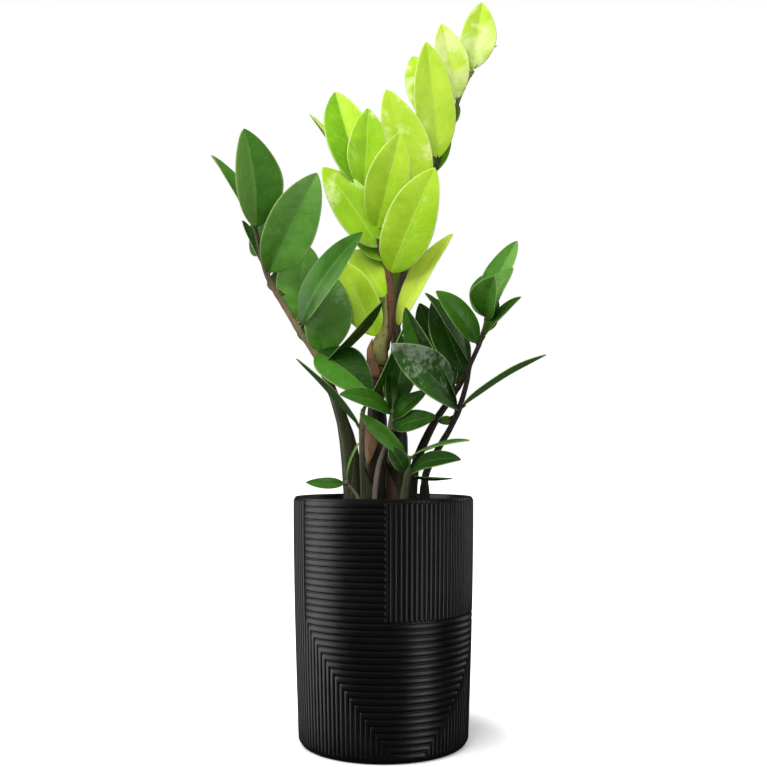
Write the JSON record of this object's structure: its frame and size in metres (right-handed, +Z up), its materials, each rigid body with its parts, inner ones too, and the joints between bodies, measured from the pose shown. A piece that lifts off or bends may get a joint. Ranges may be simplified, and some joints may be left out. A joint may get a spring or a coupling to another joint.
{
  "type": "potted plant",
  "caption": "ZZ plant with arching fronds of glossy oval leaflets, lime on the new growth and dark green on the old, in a round black planter with ribs laid in nested blocks.",
  "frame": {"origin": "centre of the planter's flat foot, on the surface it stands on", "axes": "+Z up along the planter's axis, -Y towards the front seen in the picture, +X to the right"},
  "size_m": [0.2418, 0.1268, 0.5381],
  "materials": {
    "planter_black": "satin",
    "potting_soil": "matte",
    "rhizome_skin": "matte",
    "leaf_dark": "glossy",
    "leaf_lime": "glossy"
  },
  "bodies": {
    "root": {"planter": "planter_black", "soil": "potting_soil", "rhizome": "rhizome_skin", "frond_left": "leaf_dark", "frond_centre": "leaf_lime", "frond_tall": "leaf_lime", "frond_right_back": "leaf_dark", "frond_right": "leaf_dark", "shoot_front": "leaf_dark", "shoot_middle": "leaf_dark", "shoot_right": "leaf_dark", "shoot_left": "leaf_dark"}
  },
  "joints": []
}
